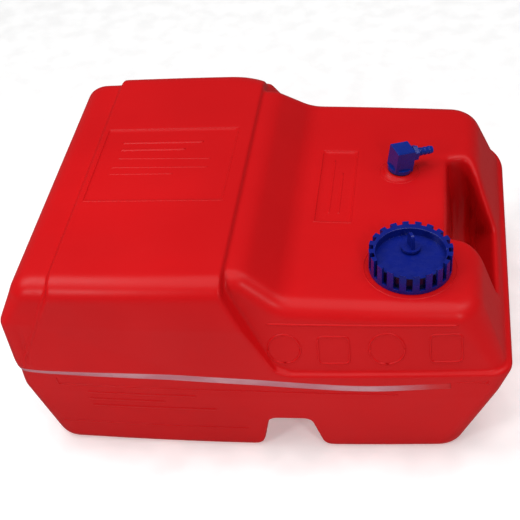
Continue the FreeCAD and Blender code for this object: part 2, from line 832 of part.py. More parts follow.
def vent_screw():
    low = "(cap_dish_floor + vent_seal_cord)"
    head = f"({low} + vent_head_thickness)"
    body = turned("vent_screw", [
        ("0", "cap_ceiling - vent_tail"),
        ("vent_stem", "cap_ceiling - vent_tail"),
        ("vent_stem", low),
        ("vent_head_radius", low),
        ("vent_head_radius", head),
        ("0", head),
    ])
    wing = outline(body, "vent_wing_outline", "XZ_Plane", [
        ("-vent_blade_width / 2", f"{head} - 1"),
        ("vent_blade_width / 2", f"{head} - 1"),
        ("vent_blade_width / 3", f"{head} + vent_blade_height", "vent_blade_round"),
        ("-vent_blade_width / 3", f"{head} + vent_blade_height", "vent_blade_round"),
    ])
    pad(body, "vent_wing", wing, "vent_blade_thickness", midplane=True)
    turn = Rotation(Vector(0, 0, 1), size("vent_blade_turn"))
    body.Placement = vent_frame.multiply(FreeCAD.Placement(Vector(), turn))
    return body


def vent_seal():
    """The O-ring under the vent screw's head."""
    ring = doc.addObject("Part::Torus", "vent_seal")
    ring.Label = "vent_seal"
    ring.setExpression("Radius1", bound("vent_seal_radius"))
    ring.setExpression("Radius2", bound("(vent_seal_cord - touching_gap) / 2"))
    ring.Placement = vent_frame.multiply(
        FreeCAD.Placement(Vector(0, 0, size("cap_dish_floor + vent_seal_cord / 2")), Rotation()))
    doc.recompute()
    return ring


def vent_retainer():
    """The clip on the stem's end, which stops the vent screw from coming right out."""
    low = "cap_ceiling - vent_tail + retainer_groove"
    body = turned("vent_retainer", [
        ("vent_stem", low),
        ("retainer_radius", low),
        ("retainer_radius", f"{low} + retainer_thickness"),
        ("vent_stem", f"{low} + retainer_thickness"),
    ])
    body.Placement = vent_frame
    return body


def vent_baffle():
    """The cup that keeps splashed fuel away from the vent."""
    floor = "cap_ceiling - baffle_length"
    body = turned("vent_baffle", [
        ("baffle_wall", floor),
        ("baffle_radius", floor),
        ("baffle_radius", "cap_ceiling"),
        ("baffle_radius - baffle_wall", "cap_ceiling"),
        ("baffle_radius - baffle_wall", f"{floor} + baffle_wall"),
        ("baffle_wall", f"{floor} + baffle_wall"),
    ])
    body.Placement = vent_frame
    return body


# ---------------------------------------------------------------- the pickup


def pickup_insert():
    """The threaded ring moulded into the boss, which the elbow's spigot turns in."""
    body = turned("pickup_insert", [
        ("insert_bore", "-insert_depth"),
        ("insert_radius", "-insert_depth"),
        ("insert_radius", "0"),
        ("insert_bore", "0"),
    ])
    body.Placement = elbow_frame
    return body


def elbow_gasket():
    body = turned("elbow_gasket", [
        ("spigot_radius", "touching_gap"),
        ("elbow_base_radius - seal_set_back", "touching_gap"),
        ("elbow_base_radius - seal_set_back", "seal_thickness"),
        ("spigot_radius", "seal_thickness"),
    ])
    body.Placement = elbow_frame
    return body


def pickup_elbow():
    low = "seal_thickness"
    deep = "-spigot_depth"
    tail = "-spigot_depth - spigot_tail"
    body = turned("pickup_elbow", [
        ("elbow_bore", tail),
        ("spigot_tail_radius", tail),
        ("spigot_tail_radius", deep),
        ("spigot_radius", deep),
        ("spigot_radius", low),
        ("elbow_base_radius", low),
        ("elbow_base_radius", f"{low} + elbow_base_height"),
        ("elbow_bore", f"{low} + elbow_base_height"),
    ])
    square = outline(body, "elbow_square", "XY_Plane", [
        ("-elbow_block / 2", "-elbow_block / 2"),
        ("elbow_block / 2", "-elbow_block / 2"),
        ("elbow_block / 2", "elbow_block / 2"),
        ("-elbow_block / 2", "elbow_block / 2"),
    ], f"{low} + 1")
    pad(body, "elbow_head", square, f"elbow_height - {low} - 1")
    fillet(body, "elbow_bevels", "elbow_bevel", lambda edge: level(edge, size("elbow_height")),
           "Chamfer")
    rise = new_sketch(body, "elbow_riser_circle", "XY_Plane", "-spigot_depth - spigot_tail - 1")
    circle(rise, "0", "0", "elbow_bore")
    pocket(body, "elbow_riser", rise, "spigot_depth + spigot_tail + 1 + outlet_height", reverse=True)
    outlet = new_sketch(body, "elbow_outlet_circle", "YZ_Plane", "0")
    circle(outlet, "0", "outlet_height", "elbow_bore")
    pocket(body, "elbow_outlet", outlet, "elbow_block", reverse=True)
    seat = new_sketch(body, "elbow_seat_circle", "YZ_Plane", "elbow_block / 2")
    circle(seat, "0", "outlet_height", "barb_thread_radius")
    pocket(body, "elbow_seat", seat, "barb_thread_length + 1")
    body.Placement = elbow_frame
    return body


def outlet_frame():
    """The hose tail's frame: on the elbow's side, its Z along the way that the hose leaves."""
    step = Vector(size("elbow_block / 2"), 0, size("outlet_height"))
    return elbow_frame.multiply(FreeCAD.Placement(step, Rotation(Vector(0, 1, 0), 90)))


def barb_seal():
    body = turned("barb_seal", [
        ("barb_thread_radius", "0"),
        ("barb_hex / 2 - seal_set_back", "0"),
        ("barb_hex / 2 - seal_set_back", "seal_thickness"),
        ("barb_thread_radius", "seal_thickness"),
    ])
    body.Placement = outlet_frame()
    return body


def hose_barb():
    """The hose tail: a threaded end, a hexagon to screw it in by, a collar and three barbs."""
    hex_low = "seal_thickness"
    collar = f"({hex_low} + barb_hex_length)"
    ridges = 3
    step = f"(barb_length - 2 * barb_collar_length) / {ridges}"
    corners = [
        ("barb_bore", "-barb_thread_length"),
        ("barb_thread_radius", "-barb_thread_length"),
        ("barb_thread_radius", hex_low),
        ("barb_collar_radius", hex_low),
        ("barb_collar_radius", f"{collar} + barb_collar_length"),
        ("barb_root", f"{collar} + barb_collar_length"),
    ]
    for ridge in range(ridges):
        foot = f"{collar} + 2 * barb_collar_length + {ridge} * {step}"
        corners += [("barb_root", foot), ("barb_radius", f"{foot} + barb_lip")]
        corners += [("barb_root", f"{foot} + {step} - barb_lip")]
    corners += [("barb_root", f"{collar} + barb_length"), ("barb_bore", f"{collar} + barb_length")]
    body = turned("hose_barb", corners)
    hexagon = [(f"barb_hex / sqrt(3) * cos({angle} deg)", f"barb_hex / sqrt(3) * sin({angle} deg)")
               for angle in range(0, 360, 60)]
    sketch = outline(body, "barb_hexagon", "XY_Plane", hexagon, hex_low)
    pad(body, "barb_hex_flats", sketch, "barb_hex_length")
    inside = new_sketch(body, "barb_bore_circle", "XY_Plane", "-barb_thread_length - 1")
    circle(inside, "0", "0", "barb_bore")
    pocket(body, "barb_passage", inside, "barb_length * 3", reverse=True)
    body.Placement = outlet_frame()
    return body


def pickup_tube():
    body = turned("pickup_tube", [
        ("spigot_tail_radius", "-tube_bottom"),
        ("tube_radius", "-tube_bottom"),
        ("tube_radius", "-spigot_depth - 1"),
        ("spigot_tail_radius", "-spigot_depth - 1"),
    ])
    body.Placement = elbow_frame
    return body


def strainer_cage():
    """The caged foot of the dip tube; its top grips the tube, and fuel enters by its windows."""
    top = "-tube_bottom + cage_grip"
    low = f"({top} - cage_length)"
    body = turned("strainer_cage", [
        ("0", low),
        ("cage_radius", low),
        ("cage_radius", f"{top} - cage_shoulder"),
        ("cage_radius - cage_shoulder", top),
        ("tube_radius", top),
        ("tube_radius", "-tube_bottom"),
        ("cage_radius - cage_wall", "-tube_bottom"),
        ("cage_radius - cage_wall", f"{low} + cage_wall"),
        ("0", f"{low} + cage_wall"),
    ])
    sill = f"{low} + 2 * cage_wall"
    window = outline(body, "cage_window", "YZ_Plane", [
        ("-cage_window_width / 2", sill),
        ("cage_window_width / 2", sill),
        ("cage_window_width / 2", "-tube_bottom - 1"),
        ("-cage_window_width / 2", "-tube_bottom - 1"),
    ])
    opening = pocket(body, "cage_opening", window, "cage_radius + 1", reverse=True)
    around(body, "cage_openings", opening, "cage_windows")
    body.Placement = elbow_frame
    return body


def strainer_mesh():
    outer = "cage_radius - cage_wall"
    low = "-tube_bottom + cage_grip - cage_length + cage_wall"
    body = turned("strainer_mesh", [
        (f"{outer} - mesh_thickness", low),
        (outer, low),
        (outer, "-tube_bottom"),
        (f"{outer} - mesh_thickness", "-tube_bottom"),
    ])
    body.Placement = elbow_frame
    return body


def check_document(parts):
    """Stops if any object of the document failed, or any piece isn't a sound solid."""
    failed = [item.Name for item in doc.Objects
              if "Invalid" in item.State or "Error" in item.State]
    failed += [part.Label for part in parts
               if part.Shape.isNull() or not part.Shape.isValid() or not part.Shape.Solids]
    if failed:
        raise RuntimeError(f"these failed: {failed}")


fill_sheet()
deck_tilt = math.degrees(math.atan(size("deck_fall")))
cap_frame = deck_frame("cap_across", "cap_along", deck_tilt)
vent_frame = cap_frame.multiply(FreeCAD.Placement(Vector(0, size("vent_set_back"), 0), Rotation()))
elbow_frame = deck_frame("elbow_across", "elbow_along", size("elbow_tilt"), size("elbow_turn"))
elbow_frame = elbow_frame.multiply(FreeCAD.Placement(Vector(0, 0, size("boss_rise")), Rotation()))
parts = make_tank()
parts += [filler_cap(), cap_gasket(), vent_screw(), vent_seal(), vent_retainer(), vent_baffle()]
parts += [pickup_insert(), elbow_gasket(), pickup_elbow(), barb_seal(), hose_barb()]
parts += [pickup_tube(), strainer_cage(), strainer_mesh()]
doc.recompute()
check_document(parts)
os.makedirs("parts", exist_ok=True)
for part in parts:
    part.Shape.exportStep(f"parts/{part.Label}.step")
    print(f"{part.Label}: {part.Shape.Volume:.0f} mm3 in {len(part.Shape.Solids)} solid(s)")
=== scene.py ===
"""Looks of the portable outboard fuel tank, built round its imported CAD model. Metres throughout."""

import json
import math

import bmesh
import bpy
import numpy as np
from mathutils import Matrix, Vector
from mathutils.bvhtree import BVHTree


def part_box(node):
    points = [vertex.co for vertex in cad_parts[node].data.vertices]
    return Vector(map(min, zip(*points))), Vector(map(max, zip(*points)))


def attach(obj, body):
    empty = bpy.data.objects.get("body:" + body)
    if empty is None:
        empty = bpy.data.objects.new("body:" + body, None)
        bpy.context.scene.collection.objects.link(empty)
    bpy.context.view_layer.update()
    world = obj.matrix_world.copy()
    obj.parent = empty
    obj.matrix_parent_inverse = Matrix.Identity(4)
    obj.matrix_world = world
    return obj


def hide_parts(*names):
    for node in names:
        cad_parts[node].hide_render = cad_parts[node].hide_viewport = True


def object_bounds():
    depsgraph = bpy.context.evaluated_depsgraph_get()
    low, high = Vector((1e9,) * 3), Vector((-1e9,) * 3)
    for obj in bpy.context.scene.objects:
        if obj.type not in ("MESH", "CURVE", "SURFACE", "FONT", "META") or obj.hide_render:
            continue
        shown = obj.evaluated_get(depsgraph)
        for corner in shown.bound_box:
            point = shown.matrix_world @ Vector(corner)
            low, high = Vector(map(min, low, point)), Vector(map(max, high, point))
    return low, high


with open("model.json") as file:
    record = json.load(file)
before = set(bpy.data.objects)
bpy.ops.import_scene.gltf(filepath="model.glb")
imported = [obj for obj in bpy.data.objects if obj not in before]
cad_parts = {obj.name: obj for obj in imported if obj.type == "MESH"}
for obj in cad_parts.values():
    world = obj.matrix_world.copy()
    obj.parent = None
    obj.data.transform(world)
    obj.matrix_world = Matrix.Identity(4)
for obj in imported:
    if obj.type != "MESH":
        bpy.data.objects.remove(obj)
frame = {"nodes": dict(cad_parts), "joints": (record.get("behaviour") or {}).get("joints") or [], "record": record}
cad_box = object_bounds()

MM = 0.001
JOINTS = {joint["name"]: joint for joint in frame["joints"]}


def joint_frame(name):
    """A matrix whose origin is on the joint's axis and whose Z runs along it, with X level."""
    joint = JOINTS[name]
    up = Vector(joint["axis"]).normalized()
    across = Vector((0, 1, 0)).cross(up).normalized()
    along = up.cross(across)
    turn = Matrix((across, along, up)).transposed().to_4x4()
    return Matrix.Translation(joint["pos_m"]) @ turn


def reach_of(node, place):
    """The greatest radius round a joint frame's Z that a CAD node has, and its lowest and highest
    place along it."""
    inverse = place.inverted()
    spots = [inverse @ vertex.co for vertex in frame["nodes"][node].data.vertices]
    heights = [spot.z for spot in spots]
    return max(spot.xy.length for spot in spots), min(heights), max(heights)


CAP = joint_frame("cap_turn")  # its origin is on the deck, under the middle of the cap
ELBOW = joint_frame("elbow_swivel")


# ---------------------------------------------------------------- camera, light and floor

VIEW_LENS = 79.1  # mm on a 36 mm sensor
VIEW_YAW = math.radians(12.75)
VIEW_PITCH = math.radians(40.82)
VIEW_ROLL = math.radians(-8.46)
VIEW_TARGET = Vector((-0.0202, -0.0046, 0.1))
VIEW_DISTANCE = 1.2796
WHITE = (1.0, 1.0, 1.0)


def make_camera():
    data = bpy.data.cameras.new("camera")
    data.lens = VIEW_LENS
    camera = bpy.data.objects.new("camera", data)
    bpy.context.scene.collection.objects.link(camera)
    back = Vector((math.sin(VIEW_YAW) * math.cos(VIEW_PITCH),
                   -math.cos(VIEW_YAW) * math.cos(VIEW_PITCH), math.sin(VIEW_PITCH)))
    turn = (-back).to_track_quat("-Z", "Y").to_matrix().to_4x4()
    place = Matrix.Translation(VIEW_TARGET + back * VIEW_DISTANCE)
    camera.matrix_world = place @ turn @ Matrix.Rotation(VIEW_ROLL, 4, "Z")
    bpy.context.scene.camera = camera


def make_light(name, kind, place, power, **settings):
    """A light at this place that shines at the middle of the tank."""
    data = bpy.data.lights.new(name, kind)
    data.energy = power
    for key, value in settings.items():
        setattr(data, key, value)
    light = bpy.data.objects.new(name, data)
    bpy.context.scene.collection.objects.link(light)
    aim = (VIEW_TARGET - Vector(place)).to_track_quat("-Z", "Y").to_matrix().to_4x4()
    light.matrix_world = Matrix.Translation(place) @ aim


def make_lights():
    """A high, wide main light, a soft box over each end and two smaller ones in front."""
    world = bpy.data.worlds.new("studio")
    world.use_nodes = True
    sky = world.node_tree.nodes["Background"]
    sky.inputs["Color"].default_value = (*WHITE, 1)
    sky.inputs["Strength"].default_value = 0.1
    bpy.context.scene.world = world
    bpy.context.scene.view_settings.view_transform = "Standard"
    make_light("main", "SUN", (-0.1, 0.0, 2.0), 1.7, angle=math.radians(60))
    make_light("over_left", "AREA", (-0.6, -0.1, 0.95), 2.8, size=0.45)
    make_light("over_right", "AREA", (0.55, -0.05, 1.0), 1.6, size=0.45)
    make_light("front_left", "AREA", (-0.57, -0.92, 0.85), 2.6, size=0.2)
    make_light("front_right", "AREA", (0.53, -0.92, 0.85), 2.2, size=0.16)


FLOOR_REACH = 12.0
FLOOR_PAINT = (0.92, 0.92, 0.92)
FLOOR_GLOW = 0.28  # a lit table, so it stays pale in shade


def make_floor():
    mesh = bpy.data.meshes.new("floor")
    reach = FLOOR_REACH
    corners = [(-reach, -reach, 0), (reach, -reach, 0), (reach, reach, 0), (-reach, reach, 0)]
    mesh.from_pydata(corners, [], [(0, 1, 2, 3)])
    floor = bpy.data.objects.new("floor", mesh)
    bpy.context.scene.collection.objects.link(floor)
    paint = moulded("floor_paint", FLOOR_PAINT, 0.7, 0.0)
    shader = paint.node_tree.nodes["Principled BSDF"]
    shader.inputs["Emission Color"].default_value = (*WHITE, 1)
    shader.inputs["Emission Strength"].default_value = FLOOR_GLOW
    floor.data.materials.append(paint)
    floor.visible_glossy = False  # a matt floor, kept out of the tank's shine


# ---------------------------------------------------------------- materials


class Nodes:
    """A short way to write a procedural material, or to add to one."""

    def __init__(self, name, material=None):
        self.material = material or bpy.data.materials.new(name)
        self.material.use_nodes = True
        self.tree = self.material.node_tree
        self.shader = self.tree.nodes["Principled BSDF"]
        self.where = self.add("ShaderNodeTexCoord").outputs["Object"]

    def add(self, kind, **settings):
        node = self.tree.nodes.new(kind)
        for key, value in settings.items():
            setattr(node, key, value)
        return node

    def link(self, source, target):
        self.tree.links.new(source, target)

    def give(self, source, socket):
        self.link(source, self.shader.inputs[socket])

    def noise(self, scale, detail=3.0, stretch=(1, 1, 1)):
        """Noise of about 1 / scale metres, drawn out along each axis by stretch."""
        mapping = self.add("ShaderNodeMapping")
        mapping.inputs["Scale"].default_value = stretch
        self.link(self.where, mapping.inputs["Vector"])
        node = self.add("ShaderNodeTexNoise")
        node.inputs["Scale"].default_value = scale
        node.inputs["Detail"].default_value = detail
        self.link(mapping.outputs["Vector"], node.inputs["Vector"])
        return node.outputs["Fac"]

    def axis(self, name):
        """How far along X, Y or Z the point is, in metres."""
        node = self.add("ShaderNodeSeparateXYZ")
        self.link(self.where, node.inputs["Vector"])
        return node.outputs[name]

    def span(self, value, low, high, to_low=0.0, to_high=1.0):
        node = self.add("ShaderNodeMapRange", interpolation_type="SMOOTHSTEP")
        self.link(value, node.inputs["Value"])
        for key, number in (("From Min", low), ("From Max", high),
                            ("To Min", to_low), ("To Max", to_high)):
            node.inputs[key].default_value = number
        return node.outputs["Result"]

    def math(self, operation, *values):
        node = self.add("ShaderNodeMath", operation=operation)
        for socket, value in zip(node.inputs, values):
            if isinstance(value, (int, float)):
                socket.default_value = value
            else:
                self.link(value, socket)
        return node.outputs[0]

    def vector(self, operation, *values):
        """A vector sum; LENGTH and DOT_PRODUCT give a number, the others a vector."""
        node = self.add("ShaderNodeVectorMath", operation=operation)
        for socket, value in zip(node.inputs, values):
            if isinstance(value, tuple):
                socket.default_value = value
            else:
                self.link(value, socket)
        number = operation in ("LENGTH", "DOT_PRODUCT")
        return node.outputs["Value" if number else "Vector"]

    def mix(self, share, first, second):
        node = self.add("ShaderNodeMix", data_type="RGBA")
        self.link(share, node.inputs["Factor"])
        for key, value in (("A", first), ("B", second)):
            socket = next(i for i in node.inputs if i.name == key and i.type == "RGBA")
            if isinstance(value, tuple):
                socket.default_value = (*value, 1)
            else:
                self.link(value, socket)
        return next(o for o in node.outputs if o.type == "RGBA")

    def bump(self, height, distance, strength=1.0, after=None):
        node = self.add("ShaderNodeBump")
        node.inputs["Strength"].default_value = strength
        node.inputs["Distance"].default_value = distance
        self.link(height, node.inputs["Height"])
        if after is not None:
            self.link(after, node.inputs["Normal"])
        self.give(node.outputs["Normal"], "Normal")
        return node.outputs["Normal"]


def shaded(color, amount):
    return tuple(c * amount for c in color)


def moulded(name, color, roughness, metallic, gloss=0.5, grain=900):
    """Moulded, turned or painted matter: its colour and gloss wander a little, over a fine grain."""
    nodes = Nodes(name)
    nodes.give(nodes.mix(nodes.span(nodes.noise(30, 4), 0.3, 0.7), shaded(color, 0.88), color),
               "Base Color")
    worn = nodes.span(nodes.noise(140, 5), 0.35, 0.75, roughness - 0.04, roughness + 0.08)
    nodes.give(worn, "Roughness")
    nodes.bump(nodes.noise(grain, 2), 0.05 * MM, 0.6)
    nodes.shader.inputs["Metallic"].default_value = metallic
    nodes.shader.inputs["Specular IOR Level"].default_value = gloss
    return nodes.material


RED = (0.60, 0.0055, 0.0075)


def tank_plastic():
    """Red blow-moulded polyethylene: satin, slightly cloudy, with long soft waves and fine scuffs."""
    nodes = Nodes("tank_plastic")
    cloudy = nodes.span(nodes.noise(6, 5), 0.3, 0.7)
    nodes.give(nodes.mix(cloudy, shaded(RED, 0.9), RED), "Base Color")
    satin = nodes.span(nodes.noise(14, 4), 0.3, 0.7, 0.30, 0.35)
    scuffs = nodes.span(nodes.noise(90, 6, (1, 4, 1)), 0.60, 0.78, 0.0, 0.10)
    nodes.give(nodes.math("ADD", satin, scuffs), "Roughness")
    waves = nodes.bump(nodes.noise(9, 2), 3 * MM, 0.15)
    nodes.bump(nodes.noise(620, 3), 0.1 * MM, 0.3, waves)
    nodes.shader.inputs["Specular IOR Level"].default_value = 0.15
    return nodes.material


def strip_plastic(fade_from, fade_to):
    """Undyed, milky plastic, that takes on the tank's red towards the strip's right end."""
    nodes = Nodes("strip_plastic")
    milky = (0.50, 0.17, 0.21)
    pale = (0.58, 0.27, 0.31)
    plain = nodes.mix(nodes.span(nodes.noise(24, 5, (1, 1, 3)), 0.35, 0.7), milky, pale)
    wander = nodes.math("MULTIPLY", nodes.math("SUBTRACT", nodes.noise(40, 3), 0.5), 20 * MM)
    place = nodes.math("ADD", nodes.axis("X"), wander)
    nodes.give(nodes.mix(nodes.span(place, fade_from, fade_to), plain, RED), "Base Color")
    nodes.give(nodes.span(nodes.noise(60, 4), 0.3, 0.7, 0.34, 0.44), "Roughness")
    nodes.bump(nodes.noise(620, 3), 0.1 * MM, 0.3)
    nodes.shader.inputs["Specular IOR Level"].default_value = 0.4
    return nodes.material


SLOT_FLOOR, SLOT_MOUTH = 4.4 * MM, 0.6 * MM  # inwards from the cap's rim, where the painted shade goes from darkest to plain
SHADE_EDGE = (5.4 * MM, 4.8 * MM)  # inwards from the rim, where the shade begins
SHADE_TOP = (1.4 * MM, 0.8 * MM)  # down from the cap's top, where the shade ends
SLOT_SHADE = 0.9  # how far the slots' floors go to the painted shade's dark colour
CAP_BLUE = (0.003, 0.011, 0.195)
SLOT_SHADE_BLUE = (0.0004, 0.0008, 0.012)


def cap_plastic():
    """Royal blue polypropylene; the slots round the cap are darkened with painted shade."""
    material = moulded("cap_plastic", CAP_BLUE, 0.28, 0.0, 0.3)
    nodes = Nodes("cap_plastic", material)
    radius, _, top = reach_of("filler_cap", CAP)
    from_axis = nodes.vector("SUBTRACT", nodes.where, tuple(CAP.translation))
    axis = tuple(CAP.to_3x3().col[2])
    out = nodes.vector("LENGTH", nodes.vector("CROSS_PRODUCT", from_axis, axis))
    up = nodes.vector("DOT_PRODUCT", from_axis, axis)
    # painted shade: darker towards the slots' floors, inside the rim and below the cap's top
    deep = nodes.span(out, radius - SLOT_FLOOR, radius - SLOT_MOUTH, SLOT_SHADE, 0.0)
    past_edge = nodes.span(out, *(radius - inwards for inwards in SHADE_EDGE))
    below_top = nodes.span(up, *(top - down for down in SHADE_TOP), 1.0, 0.0)
    in_slot = nodes.math("MULTIPLY", past_edge, below_top)
    plain = nodes.shader.inputs["Base Color"].links[0].from_socket
    painted_shade = nodes.mix(nodes.math("MULTIPLY", deep, in_slot), plain, SLOT_SHADE_BLUE)
    nodes.give(painted_shade, "Base Color")
    return material


def make_materials():
    """The other slots' materials, by slot name."""
    return {
        "cap_plastic": cap_plastic(),
        "fitting_plastic": moulded("fitting_plastic", (0.003, 0.02, 0.24), 0.28, 0.0, 0.4),
        "inner_plastic": moulded("inner_plastic", (0.72, 0.71, 0.66), 0.45, 0.0, 0.4),
        "seal_rubber": moulded("seal_rubber", (0.012, 0.012, 0.013), 0.62, 0.0, 0.4, 1500),
        "clip_steel": moulded("clip_steel", (0.62, 0.62, 0.63), 0.28, 1.0),
        "mesh_steel": moulded("mesh_steel", (0.5, 0.5, 0.51), 0.4, 1.0, 0.5, 2500),
        "insert_brass": moulded("insert_brass", (0.72, 0.52, 0.2), 0.3, 1.0),
    }


# ---------------------------------------------------------------- the tank's softened skin

CELL = 2.2 * MM
SOFTNESS = 1.6 * MM  # the spread of the blur that rounds every edge, as blow moulding does
REACH = 5 * MM  # distances further than this from the skin don't count
MORE_SOFTNESS = 4 * MM  # in the soft places, whose edges are much rounder than the others
SCOOP = ((0.168, 0.275), (-0.125, 0.105), (0.118, 0.26))  # round the hand scoop, along X, Y and Z
LEDGE = ((-0.28, 0.0), (-0.22, 0.22), (0.096, 0.132))  # the parting line at the hump
SOFT_PLACES = ((SCOOP, 20 * MM), (LEDGE, 10 * MM))  # each with how wide its border is
CLEAR = 0.2 * MM
PATCH_SIDES = 48
KEPT_TRIANGLES = 180000
SKIN_INSET = np.array((0.4, 0.4, 0)) * MM  # room for the level strip between the skin and the box


def triangles(node):
    """The corners of a CAD node's triangles, as an array of shape (count, 3, 3)."""
    mesh = frame["nodes"][node].data
    mesh.calc_loop_triangles()
    points = np.zeros(len(mesh.vertices) * 3)
    mesh.vertices.foreach_get("co", points)
    corners = np.zeros(len(mesh.loop_triangles) * 3, int)
    mesh.loop_triangles.foreach_get("vertices", corners)
    return points.reshape(-1, 3)[corners].reshape(-1, 3, 3)


def tree_of(corners):
    points = corners.reshape(-1, 3)
    faces = np.arange(len(points)).reshape(-1, 3)
    return BVHTree.FromPolygons(points.tolist(), faces.tolist())


def circle(place, radius, height=0.0, sides=PATCH_SIDES):
    """Points evenly round a joint frame's Z, and the first of them again."""
    return np.array([place @ Vector((radius * math.cos(a), radius * math.sin(a), height))
                     for a in np.linspace(0, 2 * math.pi, sides + 1)])


def disc(place, radius, height=0.0):
    """A flat disc of triangles across a joint frame, to close the skin under a fitting."""
    middle = place @ Vector((0, 0, height))
    rim = circle(place, radius, height)
    return np.array([[middle, rim[i], rim[i + 1]] for i in range(PATCH_SIDES)])


def skin_triangles():
    """The triangles of the tank's outside: those that a ray can leave, and a patch under each
    fitting that stands on the deck."""
    shell = np.concatenate([triangles("tank_shell"), triangles("level_strip")])
    fittings = [triangles(node) for node in ("filler_cap", "pickup_elbow", "elbow_gasket")]
    blocked = tree_of(np.concatenate([shell, *fittings]))
    ways = [Vector(way) for way in ((1, 0, 0), (-1, 0, 0), (0, 1, 0), (0, -1, 0), (0, 0, 1),
                                    (0, 0, -1), (1, -1, 1), (1, 1, 1), (-1, -1, 1), (-1, 1, 1))]
    weights = ((1, 1, 1), (8, 1, 1), (1, 8, 1), (1, 1, 8))
    kept = []
    for corners in shell:
        across = Vector(corners[1] - corners[0])
        normal = across.cross(Vector(corners[2] - corners[0]))
        if normal.length < 1e-12:
            continue
        normal.normalize()
        spots = [Vector(np.average(corners, axis=0, weights=w)) + normal * CLEAR for w in weights]
        open_ways = [way for way in (normal, *ways) if way.dot(normal) > 0.05]
        if any(blocked.ray_cast(spot, way)[0] is None for spot in spots for way in open_ways):
            kept.append(corners)
    cap_patch = disc(CAP, reach_of("filler_cap", CAP)[0] - MM)
    seal_radius, boss_top, _ = reach_of("elbow_gasket", ELBOW)
    elbow_patch = disc(ELBOW, seal_radius + MM, boss_top)
    return np.concatenate([np.array(kept), cap_patch, elbow_patch])


def blurred(field, spread):
    reach = int(math.ceil(3 * spread))
    steps = np.arange(-reach, reach + 1)
    kernel = np.exp(-0.5 * (steps / spread) ** 2)
    kernel /= kernel.sum()
    for axis in range(3):
        padded = np.pad(field, [(reach, reach) if a == axis else (0, 0) for a in range(3)], "edge")
        size = field.shape[axis]
        field = sum(weight * np.take(padded, range(k, k + size), axis=axis)
                    for k, weight in enumerate(kernel))
    return field


def solid_columns(tree, low, high, count):
    """True where a grid point lies between the lowest and the highest skin of its column."""
    heights = low[2] + CELL * np.arange(count[2])
    solid = np.zeros(count, bool)
    up, down = Vector((0, 0, 1)), Vector((0, 0, -1))
    for i, j in np.ndindex(count[0], count[1]):
        x, y = low[0] + i * CELL, low[1] + j * CELL
        top = tree.ray_cast(Vector((x, y, high[2])), down)[0]
        if top is not None:
            foot = tree.ray_cast(Vector((x, y, low[2])), up)[0]
            solid[i, j] = (heights > foot.z) & (heights < top.z)
    return solid


def beside_edges(solid):
    """True within reach of the places where solid changes."""
    near = np.zeros(solid.shape, bool)
    for axis in range(3):
        index = [slice(None)] * 3
        index[axis] = slice(0, -1)
        near[tuple(index)] |= np.diff(solid, axis=axis)
    ring = int(REACH / CELL) + 1
    for axis in range(3):
        near = np.logical_or.reduce([np.roll(near, step, axis) for step in range(-ring, ring + 1)])
    return near


def soft_share(low, count):
    """How much the softer field counts at each grid point: fully in the soft places, else not."""
    share = np.zeros(count)
    for place, border in SOFT_PLACES:
        within = 1.0
        for axis, (start, end) in enumerate(place):
            along = low[axis] + CELL * np.arange(count[axis])
            ramp = np.clip(np.minimum(along - start, end - along) / border, 0, 1)
            shape = [1, 1, 1]
            shape[axis] = -1
            within = within * (ramp * ramp * (3 - 2 * ramp)).reshape(shape)
        share = np.maximum(share, within)
    return share


def skin_field():
    """Signed distance to the tank's outside on a grid, then blurred. Returns it with its corner."""
    skin = skin_triangles()
    tree = tree_of(skin)
    low = skin.reshape(-1, 3).min(0) - 5 * CELL
    high = skin.reshape(-1, 3).max(0) + 5 * CELL
    count = np.ceil((high - low) / CELL).astype(int)
    solid = solid_columns(tree, low, high, count)
    field = np.where(solid, -REACH, REACH)
    for i, j, k in np.argwhere(beside_edges(solid)):
        spot = Vector((low[0] + i * CELL, low[1] + j * CELL, low[2] + k * CELL))
        away = tree.find_nearest(spot, REACH)[3]
        if away is not None:
            field[i, j, k] = -away if solid[i, j, k] else away
    crisp = blurred(field, SOFTNESS / CELL)
    soft = blurred(field, MORE_SOFTNESS / CELL)
    return crisp + (soft - crisp) * soft_share(low, count), low


def sampled(points):
    """The field at points between the grid's, by trilinear interpolation."""
    place = (points - field_low) / CELL
    base = np.clip(np.floor(place).astype(int), 0, np.array(field.shape) - 2)
    part = place - base
    value = np.zeros(len(points))
    for corner in np.ndindex(2, 2, 2):
        weight = np.prod(np.where(corner, part, 1 - part), axis=1)
        value += weight * field[tuple((base + corner).T)]
    return value


def slope(points):
    """The unit direction in which the field rises fastest, which is straight out of the skin."""
    rise = np.stack([sampled(points + step) - sampled(points - step)
                     for step in np.eye(3) * CELL * 0.5], axis=1)
    return rise / np.maximum(np.linalg.norm(rise, axis=1, keepdims=True), 1e-12)


def settled(points, rounds=4):
    """The points, moved to where the field is zero."""
    for _ in range(rounds):
        points = points - slope(points) * sampled(points)[:, None]
    return points


def skin_net():
    """A net of quads over the field's zero: one point in each cell that it crosses."""
    inside = field < 0
    corners = [inside[tuple(slice(c, n - 1 + c) for c, n in zip(corner, field.shape))]
               for corner in np.ndindex(2, 2, 2)]
    cells = np.any(corners, axis=0) & ~np.all(corners, axis=0)
    number = np.full(cells.shape, -1)
    number[cells] = np.arange(cells.sum())
    points = field_low + CELL * (np.argwhere(cells) + 0.5)
    quads = []
    for axis in range(3):
        one, two = [np.eye(3, dtype=int)[a] for a in range(3) if a != axis]
        spots = np.argwhere(np.diff(inside.astype(int), axis=axis) != 0)
        around = np.stack([number[tuple((spots - step).T)]
                           for step in (0 * one, one, one + two, two)], axis=1)
        outward = inside[tuple(spots.T)] == (axis == 1)
        around[outward] = around[outward, ::-1]
        quads.append(around)
    return settled(points), np.concatenate(quads)


# ---------------------------------------------------------------- making pieces


